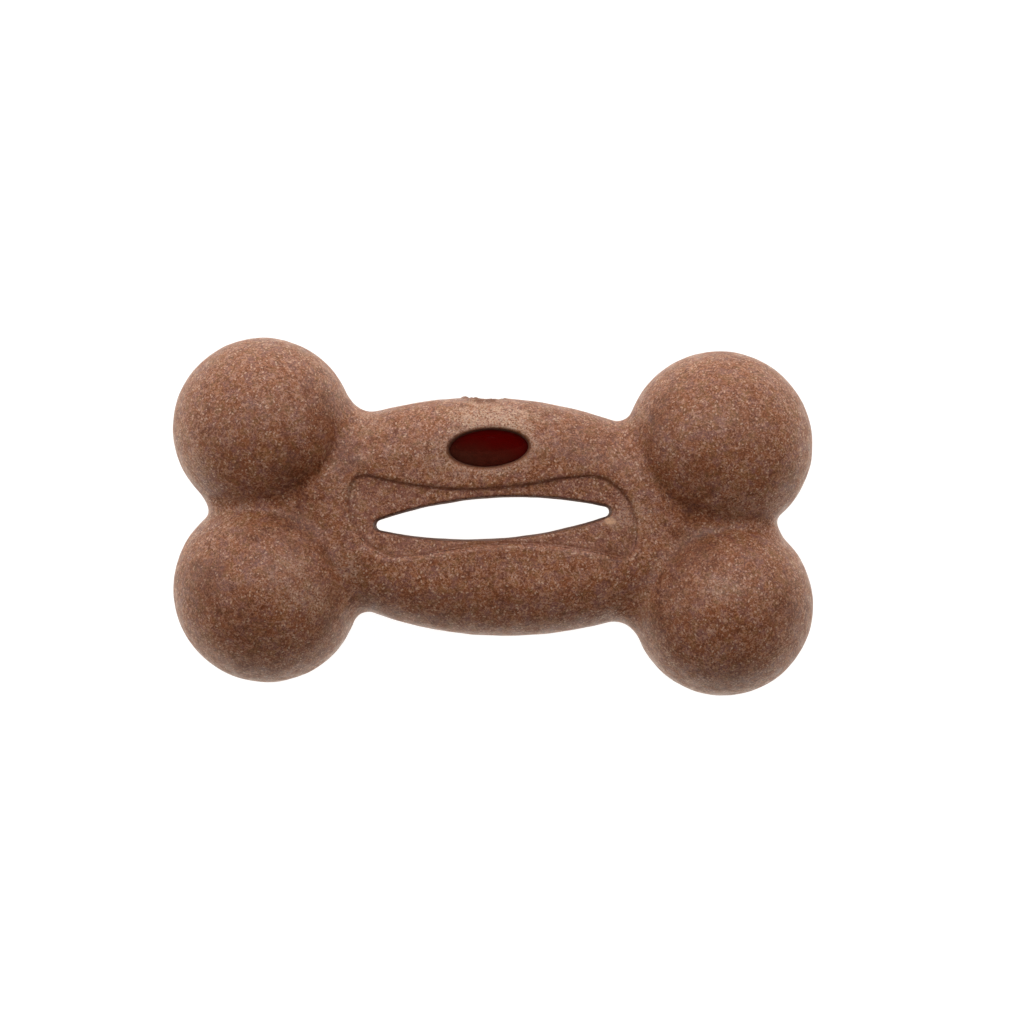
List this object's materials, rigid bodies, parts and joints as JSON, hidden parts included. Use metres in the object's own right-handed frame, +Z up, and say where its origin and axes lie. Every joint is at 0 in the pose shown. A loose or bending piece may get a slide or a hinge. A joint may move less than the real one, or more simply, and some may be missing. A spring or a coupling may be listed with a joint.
{
  "type": "dog chew bone",
  "caption": "Bone-shaped dog chew of flecked wood-fibre composite: round knobs, a slotted barrel with a shallow recess, and a captive red core behind oval windows.",
  "frame": {"origin": "middle of the footprint, on the surface that the four knobs rest on", "axes": "+X along the bone's length, +Y across it towards the beam with the core, +Z up"},
  "size_m": [0.1498, 0.0804, 0.0414],
  "materials": {
    "fibre_composite": "matte moulded wood-fibre composite, reddish brown with short pale fibres and dark mottling",
    "clear_red": "glossy, clear deep red"
  },
  "bodies": {
    "root": {"chew_body": "fibre_composite", "red_core": "clear_red"}
  },
  "joints": []
}
